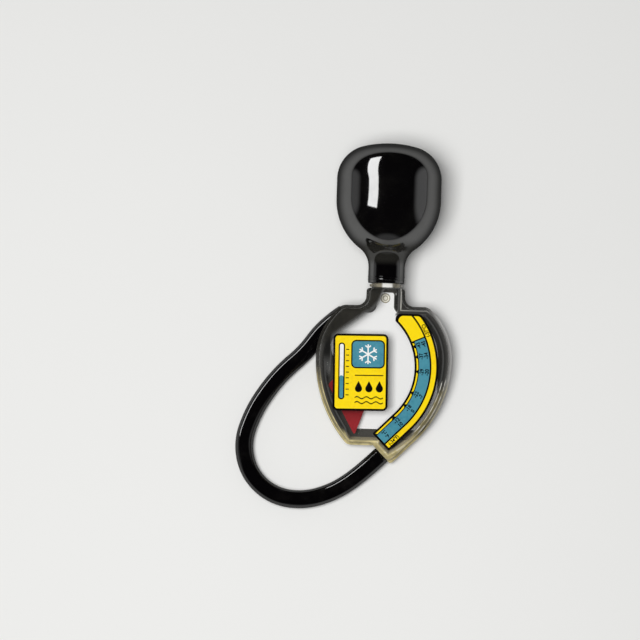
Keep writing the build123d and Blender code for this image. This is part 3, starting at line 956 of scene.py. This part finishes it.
def make_camera():
    """The photograph's view: square on to the dial through a long lens, the tester leaning a little."""
    right = ACROSS * cos(LEAN) + ALONG * sin(LEAN)
    up = ALONG * cos(LEAN) - ACROSS * sin(LEAN)
    lens = bpy.data.cameras.new("camera")
    lens.lens = LENS
    lens.sensor_width = SENSOR
    lens.clip_end = 20.0
    camera = bpy.data.objects.new("camera", lens)
    place = spot(VIEW_U, VIEW_V) + FRONT * VIEW_WIDTH / SENSOR * LENS
    turn = Matrix((right, up, FRONT)).transposed().to_4x4()
    camera.matrix_world = Matrix.Translation(place) @ turn
    bpy.context.scene.collection.objects.link(camera)
    bpy.context.scene.camera = camera


def across_dial(u, v, w):
    """A direction or step given along the dial's axes, in the row frame."""
    return ACROSS * u + ALONG * v + FRONT * w


def lamp_panel(name, start, end, width, target, glow, shines_on=None):
    """A flat lamp from start to end, of a width, facing a target; glow is its brightness. One that shines on
    a single piece shows only in that piece's gloss."""
    panel = bpy.data.lights.new(name, type="AREA")
    panel.shape = "RECTANGLE"
    panel.size = width
    panel.size_y = (end - start).length
    panel.energy = glow * pi * panel.size * panel.size_y
    holder = bpy.data.objects.new(name, panel)
    middle = (start + end) / 2
    tall = (end - start).normalized()
    back = middle - target
    back = (back - tall * back.dot(tall)).normalized()
    turn = Matrix((tall.cross(back), tall, back)).transposed().to_4x4()
    holder.matrix_world = Matrix.Translation(middle) @ turn
    holder.visible_camera = False
    holder.visible_transmission = False
    if shines_on:
        holder.visible_diffuse = False
        pieces = bpy.data.collections.new(name + "_pieces")
        pieces.objects.link(shines_on)
        holder.light_linking.receiver_collection = pieces
    else:
        holder.visible_glossy = False
    bpy.context.scene.collection.objects.link(holder)


def light_scene(bulb, hose):
    """Plain soft studio light from above. In reflections the room is dark overhead and pale at its sides.
    A strip of two lamp panels over the bulb and a lamp at the hose's upper left give them highlights."""
    dial = spot(0.0, KEY_AIM_V)
    reach = across_dial(*KEY_WAY) * KEY_DISTANCE
    half = ALONG * KEY_SIZE / 2
    lamp_panel("key", dial + reach - half, dial + reach + half, KEY_SIZE, dial, KEY_GLOW)
    low, bend, high = [spot(u, v + STRIP_V, w) for u, v, w in STRIP]
    hinge = (bend - low).cross(high - bend).normalized()
    for name, start, end in (("strip_low", low, bend), ("strip_high", bend, high)):
        below = (start + end) / 2 + hinge.cross(end - start)
        lamp_panel(name, start, end, STRIP_WIDTH, below, STRIP_GLOW, bulb)
    loop = spot(*SIDE_AIM)
    side = loop + across_dial(*SIDE_WAY) * SIDE_DISTANCE
    along_side = across_dial(*SIDE_ALONG) * SIDE_LENGTH / 2
    lamp_panel("side", side - along_side, side + along_side, SIDE_WIDTH, loop, SIDE_GLOW, hose)
    world = bpy.data.worlds.new("studio")
    bpy.context.scene.world = world
    room = Finish(world=world)
    way = room.node("TexCoord", out="Generated")
    side_ways = room.node("VectorMath", {"operation": "DOT_PRODUCT"}, {0: way, 1: ACROSS}, out="Value")
    down_ways = room.node("VectorMath", {"operation": "DOT_PRODUCT"}, {0: way, 1: -ALONG}, out="Value")
    sides = (side_ways.step(*RIGHT_FROM) * RIGHT_GLOW).high(side_ways.step(*LEFT_FROM) * LEFT_GLOW)
    sides = sides.high(down_ways.step(*DOWN_FROM) * DOWN_GLOW)
    glossy = room.node("LightPath", out="Is Glossy Ray")
    strength = ROOM_GLOW * (1 - glossy) + glossy * (sides + OVERHEAD_GLOW)
    sky = room.node("Background", {}, {"Color": (1.0, 1.0, 1.0, 1.0), "Strength": strength})
    room.node("OutputWorld", {}, {"Surface": sky})


def make_floor(material):
    """The floor that the tester lies on."""
    size = 6.0
    mesh = bpy.data.meshes.new("floor")
    corners = [(-size, -size, 0.0), (size, -size, 0.0), (size, size, 0.0), (-size, size, 0.0)]
    mesh.from_pydata(corners, [], [(0, 1, 2, 3)])
    mesh.materials.append(material)
    floor = bpy.data.objects.new("floor", mesh)
    bpy.context.scene.collection.objects.link(floor)


def main():
    bpy.context.scene.view_settings.view_transform = "Standard"
    make_camera()
    make_floor(floor_paint())
    light_scene(make_bulb(bulb_vinyl()), make_hose(hose_rubber()))
    yellow = printed("ink_yellow", ink(254, 222, 20), ink(246, 208, 24))
    teal = printed("ink_teal", ink(76, 145, 163), ink(66, 132, 152))
    black = printed("ink_black", ink(9, 8, 9), ink(20, 19, 20))
    white = printed("ink_white", ink(248, 248, 246), ink(236, 236, 232))
    print_scale(yellow, teal, black)
    print_panel(yellow, teal, black, white)
    dress("scale_label", black)
    dress("front_label", black)
    dress("front_shell", clear_front())
    dress("rear_shell", clear_rear())
    dress("dial_plate", plate_plastic())
    dress("pointer", pointer_plastic())
    dress("ballast_slug", metal("slug_brass", ink(150, 116, 60), ink(196, 160, 92), 0.25))
    dress("pivot_pin", metal("pin_steel", ink(120, 120, 122), ink(176, 176, 178), 0.2))


main()
